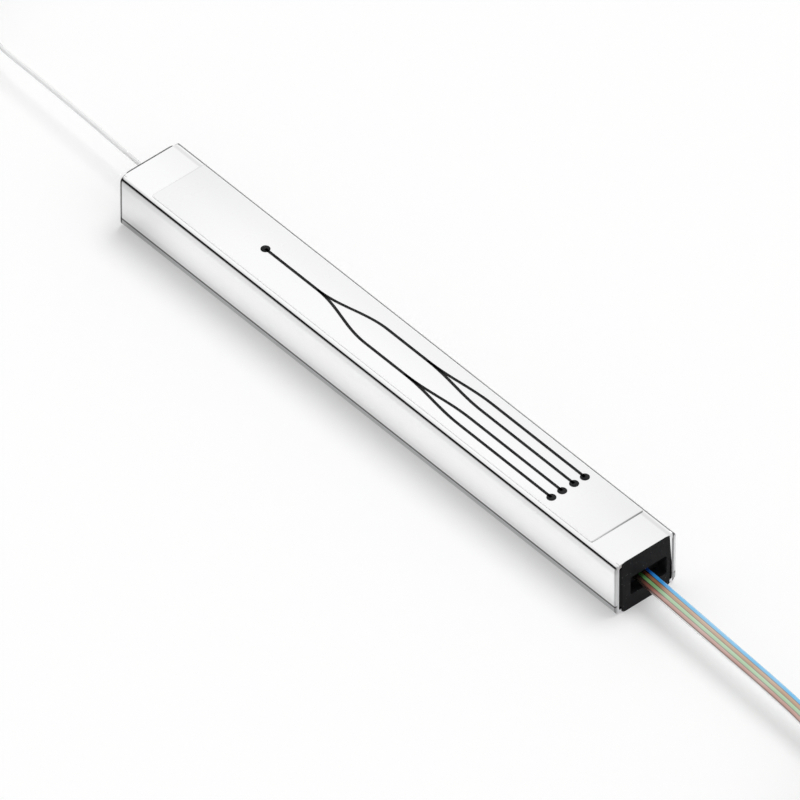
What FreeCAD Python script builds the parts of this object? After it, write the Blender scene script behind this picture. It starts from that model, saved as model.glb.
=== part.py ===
import FreeCAD, Part
import math
import os

from FreeCAD import Placement, Rotation, Vector

# A 1x4 planar fibre splitter: a slim steel tube that holds a splitter chip bonded
# between two V-groove fibre arrays, one bare fibre in and a four-fibre ribbon out.
# Millimetres.  +X points out of the ribbon end, +Z is up, and the origin is the
# centre of the tube's underside.

# --- steel tube -------------------------------------------------------------
TUBE_LENGTH = 40.0
TUBE_WIDTH = 4.3
TUBE_HEIGHT = 3.6
TUBE_WALL = 0.28
TUBE_CORNER_RADIUS = 0.40
TUBE_END_DEBURR = 0.05

# --- label film on the top of the tube --------------------------------------
LABEL_END_MARGIN = 2.25
LABEL_WIDTH = 3.7
LABEL_THICKNESS = 0.05
LABEL_CORNER_RADIUS = 0.12

# --- fibre, ribbon and their common axis ------------------------------------
AXIS_HEIGHT = 1.60
GLASS_DIAMETER = 0.125
COAT_DIAMETER = 0.25
OUTPUT_FIBRES = 4
FIBRE_PITCH = 0.25
RIBBON_WIDTH = 1.05
RIBBON_THICKNESS = 0.30
RIBBON_EDGE_BEVEL = 0.08

# --- end plugs --------------------------------------------------------------
PLUG_PROUD = 0.05
PLUG_LENGTH = 4.8
PLUG_NOSE_LENGTH = 1.3
PLUG_NOSE_GAP = 0.06
PLUG_NOSE_RADIUS = 0.28
PLUG_SIDE_BEVEL = 0.16
FLANGE_INSET = 0.02
FLANGE_RADIUS = 0.40
POCKET_WIDTH = 2.55
POCKET_HEIGHT = 1.25
POCKET_DEPTH = 0.71
POCKET_SHIFT = 0.17
POCKET_CORNER_RADIUS = 0.12
SLOT_WIDTH = 1.9
SLOT_HEIGHT = 0.6
SEAL_SETBACK = 0.25
SEAL_LENGTH = 3.2
INPUT_EXIT_SHIFT = 0.66

# --- optical train: chip between two V-groove arrays ------------------------
CHIP_CENTRE = -1.0
CHIP_LENGTH = 12.0
CHIP_WIDTH = 2.4
CHIP_THICKNESS = 1.0
CHIP_LID_LENGTH = 2.6
CHIP_LID_THICKNESS = 1.0
GUIDE_WIDTH = 0.05
GUIDE_RELIEF = 0.02
GUIDE_CLEARANCE = 0.3
STEM_SHARE = 0.16
FORK_SHARE = 0.55
POLISH_ANGLE = 8.0
ARRAY_WIDTH = 2.4
ARRAY_DEPTH = 1.0
ARRAY_LID_THICKNESS = 0.9
INPUT_ARRAY_LENGTH = 5.0
OUTPUT_ARRAY_LENGTH = 7.0
INPUT_GROOVE_LENGTH = 3.0
OUTPUT_GROOVE_LENGTH = 4.4
GROOVE_ANGLE = 60.0
STRIP_GAP = 0.3
GLUE_LENGTH = 1.6
GLUE_WIDTH = 1.9
GLUE_RISE = 0.5
GLUE_EDGE_CHAMFER = 0.22
GEL_LENGTH = 3.2
GEL_WIDTH = 1.8
EASE_START = 0.4
EASE_REACH = 1.6

# --- stored length of the two leads -----------------------------------------
TIE_THICKNESS = 0.10
TIE_WIDTH = 2.0
HANK_NEAR_END = 44.2
HANK_RUN = 20.0
HANK_OUTER_RADIUS = 6.4
HANK_INNER_RADIUS = 4.4
HANK_HEIGHT = 4.5
COIL_CENTRE = -42.9
COIL_OUTER_RADIUS = 6.2
COIL_INNER_RADIUS = 4.9
COIL_HEIGHT = 2.1
BUNDLE_EDGE_CHAMFER = 0.25

# --- values worked out from the ones above ----------------------------------
HALF_LENGTH = TUBE_LENGTH / 2
BORE_WIDTH = TUBE_WIDTH - 2 * TUBE_WALL
BORE_HEIGHT = TUBE_HEIGHT - 2 * TUBE_WALL
BORE_CORNER_RADIUS = max(TUBE_CORNER_RADIUS - TUBE_WALL, 0.05)
BORE_MIDDLE = TUBE_HEIGHT / 2
PLUG_FACE = HALF_LENGTH + PLUG_PROUD
EXIT_X = PLUG_FACE - POCKET_DEPTH - SEAL_SETBACK
CHIP_INPUT_FACE = CHIP_CENTRE - CHIP_LENGTH / 2
CHIP_OUTPUT_FACE = CHIP_CENTRE + CHIP_LENGTH / 2
TRAIN_FLOOR = AXIS_HEIGHT - ARRAY_DEPTH
GROOVE_TOP = AXIS_HEIGHT + GLASS_DIAMETER / 2
GROOVE_APEX = AXIS_HEIGHT - GLASS_DIAMETER / 2 / math.sin(math.radians(GROOVE_ANGLE / 2))

# --- cutting and drawing aids ---------------------------------------------------
FAR = 60.0
OVERRUN = 1.0
TOLERANCE = 1e-6
ARC_SHARE = 0.45
CORNER_SHARE = 0.49

# The free routes of the two leads.  Each starts at its exit, in the plug's slot, and
# ends against the outer turn of its bundle, along that turn.
LEAD_STRAIGHT = 2.6
RIBBON_ROUTE = [
    (EXIT_X, 0.0, AXIS_HEIGHT),
    (EXIT_X + LEAD_STRAIGHT, -0.11, AXIS_HEIGHT),
    (26.6, -0.34, 1.60),
    (31.2, -0.53, 1.58),
    (34.6, -0.72, 1.42),
    (37.0, -1.66, 0.98),
    (38.9, -3.46, 0.70),
    (40.7, -5.26, 0.67),
]
FIBRE_ROUTE = [
    (-EXIT_X, INPUT_EXIT_SHIFT, AXIS_HEIGHT),
    (-EXIT_X - LEAD_STRAIGHT, INPUT_EXIT_SHIFT, AXIS_HEIGHT),
    (-26.4, 0.89, 1.60),
    (-31.0, 1.03, 1.58),
    (-34.2, 1.20, 1.34),
    (-36.4, 2.60, 0.76),
    (-38.3, 4.08, 0.32),
    (-40.2, 5.52, 0.23),
]


def rounded_rectangle(width, height, radius, x, y, z):
    """Face in the YZ plane at x, centred on y and z."""
    hw = width / 2
    hh = height / 2
    if radius <= 0:
        corners = [(-hw, -hh), (hw, -hh), (hw, hh), (-hw, hh), (-hw, -hh)]
        return Part.Face(Part.makePolygon([Vector(x, y + a, z + b) for a, b in corners]))
    r = min(radius, CORNER_SHARE * width, CORNER_SHARE * height)
    edges = []
    centres = [(hw - r, hh - r, 0), (-hw + r, hh - r, 90), (-hw + r, -hh + r, 180), (hw - r, -hh + r, 270)]
    arcs = []
    for cy, cz, start in centres:
        points = []
        for step in (0, 45, 90):
            angle = math.radians(start + step)
            points.append(Vector(x, y + cy + r * math.cos(angle), z + cz + r * math.sin(angle)))
        arcs.append(points)
    for index, points in enumerate(arcs):
        edges.append(Part.Arc(*points).toShape())
        following = arcs[(index + 1) % 4][0]
        if points[2].distanceToPoint(following) > TOLERANCE:
            edges.append(Part.LineSegment(points[2], following).toShape())
    return Part.Face(Part.Wire(edges))


def bar(width, height, radius, x_start, x_end, y, z):
    """Straight bar of rounded rectangular section from x_start to x_end."""
    face = rounded_rectangle(width, height, radius, x_start, y, z)
    return face.extrude(Vector(x_end - x_start, 0, 0))


def block(x_start, x_end, width, z_low, z_high, y=0.0):
    """Square-edged block centred on y."""
    low = Vector(min(x_start, x_end), y - width / 2, z_low)
    return Part.makeBox(abs(x_end - x_start), width, z_high - z_low, low)


def cylinder_x(diameter, x_start, x_end, y, z):
    """Round rod along X."""
    low = min(x_start, x_end)
    return Part.makeCylinder(diameter / 2, abs(x_end - x_start), Vector(low, y, z), Vector(1, 0, 0))


def edges_where(shape, test):
    """Edges whose every sampled point passes the test."""
    chosen = []
    for edge in shape.Edges:
        if all(test(point) for point in edge.discretize(5)):
            chosen.append(edge)
    return chosen


def turn_radius(before, corner, after):
    """Largest tangent arc that the two runs at a corner leave room for."""
    leg_in = corner - before
    leg_out = after - corner
    turn = leg_in.getAngle(leg_out)
    return ARC_SHARE * min(leg_in.Length, leg_out.Length) / math.tan(turn / 2)


def route_wire(route, name):
    """Straight runs joined by tangent arcs, and its length."""
    points = [Vector(*p) for p in route]
    edges = []
    radii = []
    start = points[0]
    for before, corner, after in zip(points, points[1:], points[2:]):
        radius = turn_radius(before, corner, after)
        radii.append(radius)
        inward = (before - corner).normalize()
        outward = (after - corner).normalize()
        turn = math.pi - inward.getAngle(outward)
        reach = radius * math.tan(turn / 2)
        first = corner + inward * reach
        last = corner + outward * reach
        bisector = (inward + outward).normalize()
        middle = corner + bisector * (radius / math.cos(turn / 2) - radius)
        edges.append(Part.LineSegment(start, first).toShape())
        edges.append(Part.Arc(first, middle, last).toShape())
        start = last
    edges.append(Part.LineSegment(start, points[-1]).toShape())
    wire = Part.Wire(edges)
    print(name, "length %.1f, radii" % wire.Length, " ".join("%.1f" % r for r in radii))
    return wire


def sweep_along(wire, section):
    """Solid of one section along a route."""
    return wire.makePipe(section)


def make_steel_tube():
    """Drawn square tube, open at both ends, with its cut ends deburred."""
    tube = bar(TUBE_WIDTH, TUBE_HEIGHT, TUBE_CORNER_RADIUS, -HALF_LENGTH, HALF_LENGTH, 0, BORE_MIDDLE)
    rims = edges_where(tube, lambda p: abs(abs(p.x) - HALF_LENGTH) < TOLERANCE)
    tube = tube.makeChamfer(TUBE_END_DEBURR, rims)
    bore = bar(BORE_WIDTH, BORE_HEIGHT, BORE_CORNER_RADIUS, -FAR, FAR, 0, BORE_MIDDLE)
    return tube.cut(bore)


def make_label():
    """Film on the flat of the tube whose long edges just follow the corner rounding."""
    outer_radius = TUBE_CORNER_RADIUS + LABEL_THICKNESS
    coat = bar(TUBE_WIDTH + 2 * LABEL_THICKNESS, TUBE_HEIGHT + 2 * LABEL_THICKNESS, outer_radius,
               -HALF_LENGTH, HALF_LENGTH, 0, BORE_MIDDLE)
    core = bar(TUBE_WIDTH, TUBE_HEIGHT, TUBE_CORNER_RADIUS, -FAR, FAR, 0, BORE_MIDDLE)
    half_label = HALF_LENGTH - LABEL_END_MARGIN
    cutter = block(-half_label, half_label, LABEL_WIDTH, BORE_MIDDLE, TUBE_HEIGHT + OVERRUN)
    uprights = edges_where(cutter, lambda p: abs(abs(p.x) - half_label) < TOLERANCE
                           and abs(abs(p.y) - LABEL_WIDTH / 2) < TOLERANCE)
    cutter = cutter.makeFillet(LABEL_CORNER_RADIUS, uprights)
    return coat.cut(core).common(cutter)


def side_wedge(half_width, side):
    """What the bevel takes off one upright edge of the plug's face."""
    edge = side * half_width
    corners = [Vector(PLUG_FACE, edge, 0), Vector(PLUG_FACE - PLUG_SIDE_BEVEL, edge, 0),
               Vector(PLUG_FACE, edge - side * PLUG_SIDE_BEVEL, 0)]
    return Part.Face(Part.makePolygon(corners + corners[:1])).extrude(Vector(0, 0, TUBE_HEIGHT))


def make_end_plug(side):
    """Moulded boot: a shank that fills the bore, a slimmer nose, a stop flange, a pocket and a slot."""
    nose_start = PLUG_FACE - PLUG_NOSE_LENGTH
    nose_width = BORE_WIDTH - 2 * PLUG_NOSE_GAP
    shank = bar(BORE_WIDTH, BORE_HEIGHT, BORE_CORNER_RADIUS, PLUG_FACE - PLUG_LENGTH, nose_start,
                0, BORE_MIDDLE)
    nose = bar(nose_width, BORE_HEIGHT - 2 * PLUG_NOSE_GAP, PLUG_NOSE_RADIUS, nose_start, PLUG_FACE,
               0, BORE_MIDDLE)
    flange = bar(nose_width, TUBE_HEIGHT - 2 * FLANGE_INSET, FLANGE_RADIUS, HALF_LENGTH, PLUG_FACE,
                 0, BORE_MIDDLE)
    plug = shank.fuse([nose, flange])
    pocket = bar(POCKET_WIDTH, POCKET_HEIGHT, POCKET_CORNER_RADIUS, PLUG_FACE - POCKET_DEPTH, FAR,
                 POCKET_SHIFT, AXIS_HEIGHT)
    slot = bar(SLOT_WIDTH, SLOT_HEIGHT, 0, -FAR, FAR, 0, AXIS_HEIGHT)
    wedges = [side_wedge(nose_width / 2, edge) for edge in (-1, 1)]
    plug = plug.cut([pocket, slot] + wedges).removeSplitter()
    if side < 0:
        plug = plug.mirror(Vector(0, 0, 0), Vector(1, 0, 0))
    return plug


def polished_side(x_face, side):
    """All space on one side of an end face polished at the return-loss angle."""
    space = Part.makeBox(FAR, FAR, FAR, Vector(0, -FAR / 2, -FAR / 2))
    if side < 0:
        space.translate(Vector(-FAR, 0, 0))
    tilt = Rotation(Vector(0, 1, 0), POLISH_ANGLE)
    space.Placement = Placement(Vector(x_face, 0, AXIS_HEIGHT), tilt).multiply(space.Placement)
    return space


def chip_space():
    """The space between the two polished joints of the chip."""
    return polished_side(CHIP_INPUT_FACE, 1).common(polished_side(CHIP_OUTPUT_FACE, -1))


def guide_ridge(x_start, y_start, x_end, y_end):
    """One light guide, as a low ridge on the chip: straight, or an S-bend of two equal arcs."""
    if abs(y_end - y_start) < TOLERANCE:
        return block(x_start, x_end, GUIDE_WIDTH, AXIS_HEIGHT, AXIS_HEIGHT + GUIDE_RELIEF, y_start)
    middle = Vector((x_start + x_end) / 2, (y_start + y_end) / 2, AXIS_HEIGHT)
    half_run = (x_end - x_start) / 2
    half_rise = (y_end - y_start) / 2
    radius = (half_run ** 2 + half_rise ** 2) / (2 * abs(half_rise))
    angle = math.asin(half_run / radius) / 2
    sagitta = math.copysign(radius * (1 - math.cos(angle)), half_rise)
    bow = radius * math.sin(angle)
    start = Vector(x_start, y_start, AXIS_HEIGHT)
    end = Vector(x_end, y_end, AXIS_HEIGHT)
    first = Part.Arc(start, start + Vector(bow, sagitta, 0), middle).toShape()
    second = Part.Arc(middle, end - Vector(bow, sagitta, 0), end).toShape()
    wire = Part.Wire([first, second])
    outline = wire.makeOffset2D(GUIDE_WIDTH / 2)
    return Part.Face(outline).extrude(Vector(0, 0, GUIDE_RELIEF))


def fibre_rows(count):
    """Sideways places of a row of fibres."""
    return [(index - (count - 1) / 2) * FIBRE_PITCH for index in range(count)]


def make_chip():
    """Splitter chip: a glass slab with its light guides branching one, two, four."""
    slab = block(CHIP_INPUT_FACE - OVERRUN, CHIP_OUTPUT_FACE + OVERRUN, CHIP_WIDTH,
                 AXIS_HEIGHT - CHIP_THICKNESS, AXIS_HEIGHT).common(chip_space())
    first = CHIP_INPUT_FACE + CHIP_LID_LENGTH + GUIDE_CLEARANCE
    last = CHIP_OUTPUT_FACE - CHIP_LID_LENGTH - GUIDE_CLEARANCE
    stem = first + STEM_SHARE * (last - first)
    fork = first + FORK_SHARE * (last - first)
    rows = fibre_rows(OUTPUT_FIBRES)
    half = OUTPUT_FIBRES // 2
    branches = [sum(rows[:half]) / half, sum(rows[half:]) / (OUTPUT_FIBRES - half)]
    ridges = [guide_ridge(first, 0, stem, 0)]
    for branch, group in zip(branches, (rows[:half], rows[half:])):
        ridges.append(guide_ridge(stem, 0, fork, branch))
        for row in group:
            ridges.append(guide_ridge(fork, branch, last, row))
    return slab.fuse(ridges).removeSplitter()


def make_chip_lid(side):
    """Glass lid that stiffens one bonded end of the chip."""
    if side < 0:
        x_start, x_end = CHIP_INPUT_FACE - OVERRUN, CHIP_INPUT_FACE + CHIP_LID_LENGTH
    else:
        x_start, x_end = CHIP_OUTPUT_FACE - CHIP_LID_LENGTH, CHIP_OUTPUT_FACE + OVERRUN
    lid = block(x_start, x_end, CHIP_WIDTH, AXIS_HEIGHT, AXIS_HEIGHT + CHIP_LID_THICKNESS)
    return lid.common(chip_space())


def array_face(side):
    """Where an array's polished face meets the chip."""
    return CHIP_INPUT_FACE if side < 0 else CHIP_OUTPUT_FACE


def array_size(side):
    """Length, groove length, row of fibres and half height of what lies on the rear step."""
    if side < 0:
        return INPUT_ARRAY_LENGTH, INPUT_GROOVE_LENGTH, [0.0], COAT_DIAMETER / 2
    return OUTPUT_ARRAY_LENGTH, OUTPUT_GROOVE_LENGTH, fibre_rows(OUTPUT_FIBRES), RIBBON_THICKNESS / 2


def make_array_base(side):
    """Glass block with one V-groove for each fibre and a lower step behind the grooves."""
    face = array_face(side)
    length, groove_length, rows, half_height = array_size(side)
    body = block(face - side, face + side * length, ARRAY_WIDTH, TRAIN_FLOOR, GROOVE_TOP)
    step = block(face + side * groove_length, face + side * (length + OVERRUN), ARRAY_WIDTH + OVERRUN,
                 AXIS_HEIGHT - half_height, GROOVE_TOP + OVERRUN)
    body = body.cut(step)
    half_width = (GROOVE_TOP - GROOVE_APEX) * math.tan(math.radians(GROOVE_ANGLE / 2))
    for row in rows:
        corners = [Vector(face - side, row, GROOVE_APEX),
                   Vector(face - side, row + half_width, GROOVE_TOP),
                   Vector(face - side, row - half_width, GROOVE_TOP)]
        triangle = Part.Face(Part.makePolygon(corners + corners[:1]))
        body = body.cut(triangle.extrude(Vector(side * (groove_length + OVERRUN), 0, 0)))
    return body.common(polished_side(face, side))


def make_array_lid(side):
    """Glass lid that presses the fibres down into their grooves."""
    face = array_face(side)
    groove_length = array_size(side)[1]
    lid = block(face - side, face + side * groove_length, ARRAY_WIDTH, GROOVE_TOP,
                GROOVE_TOP + ARRAY_LID_THICKNESS)
    return lid.common(polished_side(face, side))


def strip_point(side):
    """Where the bare glass goes into its coating, on the array's rear step."""
    return array_face(side) + side * (array_size(side)[1] + STRIP_GAP)


def make_glass_fibre(side, row):
    """Bare glass end of one fibre, seated in its groove and polished with the array."""
    face = array_face(side)
    rod = cylinder_x(GLASS_DIAMETER, face - side, strip_point(side), row, AXIS_HEIGHT)
    return rod.common(polished_side(face, side))


def ribbon_section(x, y, z):
    """Flat section of the four-fibre ribbon, its edges bevelled."""
    half_width = RIBBON_WIDTH / 2
    half_height = RIBBON_THICKNESS / 2
    flat = half_width - RIBBON_EDGE_BEVEL
    upright = half_height - RIBBON_EDGE_BEVEL
    right = [(half_width, -upright), (half_width, upright), (flat, half_height)]
    left = [(-flat, half_height), (-half_width, upright), (-half_width, -upright)]
    outline = right + left + [(-flat, -half_height), (flat, -half_height)]
    return Part.Face(Part.makePolygon([Vector(x, y + a, z + b) for a, b in outline + outline[:1]]))


def make_ribbon_inside():
    """Coated ribbon between the output array and the exit."""
    section = ribbon_section(strip_point(1), 0, AXIS_HEIGHT)
    return section.extrude(Vector(EXIT_X - strip_point(1), 0, 0))


def make_fibre_inside():
    """Coated input fibre between the exit and the input array, easing over to its side."""
    array_end = CHIP_INPUT_FACE - INPUT_ARRAY_LENGTH
    plug_end = -PLUG_FACE + PLUG_LENGTH
    route = [
        (strip_point(-1), 0.0, AXIS_HEIGHT),
        (array_end - EASE_START, 0.0, AXIS_HEIGHT),
        ((array_end + plug_end) / 2 - EASE_REACH, INPUT_EXIT_SHIFT, AXIS_HEIGHT),
        (-EXIT_X, INPUT_EXIT_SHIFT, AXIS_HEIGHT),
    ]
    wire = route_wire(route, "input fibre inside")
    start = Vector(*route[0])
    circle = Part.Circle(start, Vector(-1, 0, 0), COAT_DIAMETER / 2).toShape()
    return sweep_along(wire, Part.Face(Part.Wire([circle])))


def make_array_glue(side, buried):
    """Bead of glue over the strip point, against the array's lid."""
    x_start = array_face(side) + side * array_size(side)[1]
    half_height = array_size(side)[3]
    bead = block(x_start, x_start + side * (STRIP_GAP + GLUE_LENGTH), GLUE_WIDTH,
                 AXIS_HEIGHT - half_height, AXIS_HEIGHT + GLUE_RISE)
    x_end = x_start + side * (STRIP_GAP + GLUE_LENGTH)
    top = AXIS_HEIGHT + GLUE_RISE
    crown = edges_where(bead, lambda p: abs(p.z - top) < TOLERANCE
                        and (abs(abs(p.y) - GLUE_WIDTH / 2) < TOLERANCE or abs(p.x - x_end) < TOLERANCE))
    bead = bead.makeChamfer(GLUE_EDGE_CHAMFER, crown)
    return bead.cut(buried)


def make_exit_seal(side, buried):
    """Sealant that fills the plug's slot round the lead, set back from the pocket floor."""
    fill = block(side * (EXIT_X - SEAL_LENGTH), side * EXIT_X, SLOT_WIDTH,
                 AXIS_HEIGHT - SLOT_HEIGHT / 2, AXIS_HEIGHT + SLOT_HEIGHT / 2)
    return fill.cut(buried)


def make_gel_pad(side):
    """Soft silicone that holds one array off the tube's floor."""
    length = array_size(side)[0]
    middle = array_face(side) + side * length / 2
    return block(middle - GEL_LENGTH / 2, middle + GEL_LENGTH / 2, GEL_WIDTH, TUBE_WALL, TRAIN_FLOOR)


def stadium(run, radius, x, z, height):
    """Upright stadium prism: two half rounds joined by straight runs along X."""
    points = [Vector(x, -radius, z), Vector(x + run, -radius, z),
              Vector(x + run, radius, z), Vector(x, radius, z)]
    edges = [
        Part.LineSegment(points[0], points[1]).toShape(),
        Part.Arc(points[1], Vector(x + run + radius, 0, z), points[2]).toShape(),
        Part.LineSegment(points[2], points[3]).toShape(),
        Part.Arc(points[3], Vector(x - radius, 0, z), points[0]).toShape(),
    ]
    return Part.Face(Part.Wire(edges)).extrude(Vector(0, 0, height))


def make_ribbon_hank():
    """Outer form of the stored ribbon: long turns on edge, in layers."""
    outer = stadium(HANK_RUN, HANK_OUTER_RADIUS, HANK_NEAR_END, TIE_THICKNESS, HANK_HEIGHT)
    inner = stadium(HANK_RUN, HANK_INNER_RADIUS, HANK_NEAR_END, TIE_THICKNESS, HANK_HEIGHT)
    hank = outer.cut(inner)
    top = TIE_THICKNESS + HANK_HEIGHT
    rims = edges_where(hank, lambda p: abs(p.z - top) < TOLERANCE or abs(p.z - TIE_THICKNESS) < TOLERANCE)
    return hank.makeChamfer(BUNDLE_EDGE_CHAMFER, rims)


def make_fibre_coil():
    """Outer form of the stored input fibre: a neat round coil."""
    base = Vector(COIL_CENTRE, 0, TIE_THICKNESS)
    coil = Part.makeCylinder(COIL_OUTER_RADIUS, COIL_HEIGHT, base)
    coil = coil.cut(Part.makeCylinder(COIL_INNER_RADIUS, COIL_HEIGHT, base))
    rims = [edge for edge in coil.Edges if edge.Length > 2 * COIL_INNER_RADIUS]
    return coil.makeChamfer(BUNDLE_EDGE_CHAMFER, rims)


def make_tie(x, y_inner, y_outer, height, bundle):
    """Band of tape round one side of a bundle."""
    y_low = min(y_inner, y_outer) - TIE_THICKNESS
    y_high = max(y_inner, y_outer) + TIE_THICKNESS
    middle = (y_low + y_high) / 2
    band = block(x - TIE_WIDTH / 2, x + TIE_WIDTH / 2, y_high - y_low, 0,
                 height + 2 * TIE_THICKNESS, middle)
    corners = edges_where(band, lambda p: (abs(p.y - y_low) < TOLERANCE or abs(p.y - y_high) < TOLERANCE)
                          and (abs(p.z) < TOLERANCE or abs(p.z - height - 2 * TIE_THICKNESS) < TOLERANCE))
    return band.makeChamfer(BUNDLE_EDGE_CHAMFER, corners).cut(bundle)


def make_ribbon_lead(hank):
    """Ribbon from its exit to the hank."""
    wire = route_wire(RIBBON_ROUTE, "ribbon lead")
    lead = sweep_along(wire, ribbon_section(*RIBBON_ROUTE[0]))
    section = RIBBON_WIDTH * RIBBON_THICKNESS - 2 * RIBBON_EDGE_BEVEL ** 2
    print("ribbon lead volume %.3f, section x length %.3f" % (lead.Volume, section * wire.Length))
    return lead.cut(hank)


def make_fibre_lead(coil):
    """Input fibre from its exit to the coil."""
    wire = route_wire(FIBRE_ROUTE, "fibre lead")
    circle = Part.Circle(Vector(*FIBRE_ROUTE[0]), Vector(-1, 0, 0), COAT_DIAMETER / 2).toShape()
    lead = sweep_along(wire, Part.Face(Part.Wire([circle])))
    section = math.pi * COAT_DIAMETER ** 2 / 4
    print("fibre lead volume %.3f, section x length %.3f" % (lead.Volume, section * wire.Length))
    return lead.cut(coil)


def make_all():
    """Every piece, by its node name."""
    pieces = {"steel_tube": make_steel_tube(), "label": make_label()}
    pieces["splitter_chip"] = make_chip()
    fibre_inside = make_fibre_inside()
    ribbon_inside = make_ribbon_inside()
    glass_in = make_glass_fibre(-1, 0.0)
    glass_out = [make_glass_fibre(1, row) for row in fibre_rows(OUTPUT_FIBRES)]
    for name, side, buried in (("input", -1, [fibre_inside, glass_in]),
                               ("output", 1, [ribbon_inside] + glass_out)):
        pieces[name + "_end_plug"] = make_end_plug(side)
        pieces[name + "_exit_seal"] = make_exit_seal(side, buried[:1])
        pieces["chip_" + name + "_lid"] = make_chip_lid(side)
        pieces[name + "_array_base"] = make_array_base(side)
        pieces[name + "_array_lid"] = make_array_lid(side)
        pieces[name + "_array_glue"] = make_array_glue(side, buried)
        pieces[name + "_gel_pad"] = make_gel_pad(side)
    pieces["input_glass_fibre"] = glass_in
    for number, fibre in enumerate(glass_out, 1):
        pieces["output_glass_fibre_%d" % number] = fibre
    pieces["input_fibre_inside"] = fibre_inside
    pieces["ribbon_inside"] = ribbon_inside
    hank = make_ribbon_hank()
    coil = make_fibre_coil()
    pieces["ribbon_lead"] = make_ribbon_lead(hank)
    pieces["ribbon_hank"] = hank
    pieces["ribbon_tie"] = make_tie(HANK_NEAR_END + HANK_RUN / 2, HANK_INNER_RADIUS,
                                    HANK_OUTER_RADIUS, HANK_HEIGHT, hank)
    pieces["fibre_lead"] = make_fibre_lead(coil)
    pieces["fibre_coil"] = coil
    pieces["fibre_tie"] = make_tie(COIL_CENTRE, -COIL_INNER_RADIUS, -COIL_OUTER_RADIUS,
                                   COIL_HEIGHT, coil)
    return pieces


os.makedirs("parts", exist_ok=True)
for node, solid in make_all().items():
    print("%-24s solids %d valid %s volume %.4f" % (node, len(solid.Solids), solid.isValid(), solid.Volume))
    solid.exportStep("parts/%s.step" % node)
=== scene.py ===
# %% [markdown]
# # A planar fibre splitter, dressed for a studio picture
# The object is a small steel tube, 40 mm long, that protects a glass chip.  Light comes in on one bare
# fibre and leaves on a flat ribbon of four.  The solids are already right, so this script never changes
# their shape.  It gives them finishes, winds the two leads at their real length, prints the label, and
# sets up a white table and a soft studio.  Loading comes first, because every place is read from it.

# %% Load the solids and keep their box
import math

import bpy
from mathutils import Matrix, Vector


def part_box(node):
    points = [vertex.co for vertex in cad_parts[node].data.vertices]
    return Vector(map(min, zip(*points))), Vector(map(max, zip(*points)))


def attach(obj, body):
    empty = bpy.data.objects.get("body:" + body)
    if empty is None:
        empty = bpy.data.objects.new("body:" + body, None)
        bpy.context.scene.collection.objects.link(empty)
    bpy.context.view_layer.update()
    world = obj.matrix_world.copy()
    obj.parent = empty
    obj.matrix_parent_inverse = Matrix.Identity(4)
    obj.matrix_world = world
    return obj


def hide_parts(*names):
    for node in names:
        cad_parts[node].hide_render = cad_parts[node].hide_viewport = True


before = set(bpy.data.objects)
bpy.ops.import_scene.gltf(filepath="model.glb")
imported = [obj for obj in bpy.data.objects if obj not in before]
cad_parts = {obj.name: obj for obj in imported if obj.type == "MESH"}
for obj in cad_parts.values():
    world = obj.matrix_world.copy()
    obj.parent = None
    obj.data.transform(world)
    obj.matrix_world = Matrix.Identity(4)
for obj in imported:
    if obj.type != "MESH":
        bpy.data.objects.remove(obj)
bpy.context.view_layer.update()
MM = 0.001


def mm(*values):
    """A point given in millimetres, in the metres that the scene uses."""
    return Vector([value * MM for value in values])


def add_object(name, data):
    """A new object in the scene, made from a mesh, a curve, a camera or a lamp."""
    item = bpy.data.objects.new(name, data)
    bpy.context.scene.collection.objects.link(item)
    return item


def add_mesh(name, corners, faces):
    """A new mesh object with the given corners and faces."""
    mesh = bpy.data.meshes.new(name)
    mesh.from_pydata(corners, [], faces)
    return add_object(name, mesh)

# %% [markdown]
# ## The camera
# A part this thin is shown from a raised corner, so that its top, one long side and one end all show.
# A long lens from far away keeps its long edges almost parallel, as catalogue pictures do.  The camera
# could be aimed with a constraint, but three plain axes built from two angles are easier to check.

# %% Camera
CAMERA_TURN = math.radians(48.835)
CAMERA_RISE = math.radians(43.582)
CAMERA_DISTANCE = 1758 * MM
VIEW_WIDTH = 42.52 * MM
SENSOR_WIDTH = 36.0
AIM_RIGHT = 0.191 * MM
AIM_DOWN = 1.140 * MM
AIM_HEIGHT = 1.7 * MM
VIEW_END = 10


def add_camera():
    """A long lens aimed just beside the middle of the tube."""
    turn, rise = CAMERA_TURN, CAMERA_RISE
    backward = Vector((math.sin(turn) * math.cos(rise), -math.cos(turn) * math.cos(rise), math.sin(rise)))
    right = Vector((math.cos(turn), math.sin(turn), 0))
    up = backward.cross(right)
    aim = Vector((0, 0, AIM_HEIGHT)) + right * AIM_RIGHT - up * AIM_DOWN
    data = bpy.data.cameras.new("studio_camera")
    data.sensor_width = SENSOR_WIDTH
    data.lens = SENSOR_WIDTH * CAMERA_DISTANCE / VIEW_WIDTH
    data.clip_end = VIEW_END
    camera = add_object("studio_camera", data)
    axes = Matrix((right, up, backward)).transposed()
    camera.matrix_world = Matrix.Translation(aim + backward * CAMERA_DISTANCE) @ axes.to_4x4()
    bpy.context.scene.camera = camera
    return camera


camera = add_camera()
print("lens %.0f mm" % camera.data.lens)

# %% [markdown]
# ## A route becomes a smooth line
# A fibre is springy glass, so it never kinks.  A handful of listed points says where it goes, and
# a NURBS spline of order 3 runs smoothly between them.  Bezier handles would need a direction at each
# point as well.  The order is set after the points exist, because an empty spline can't take it.

# %% Spline helper
NURBS_ORDER = 3
CURVE_STEPS = 4


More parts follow.
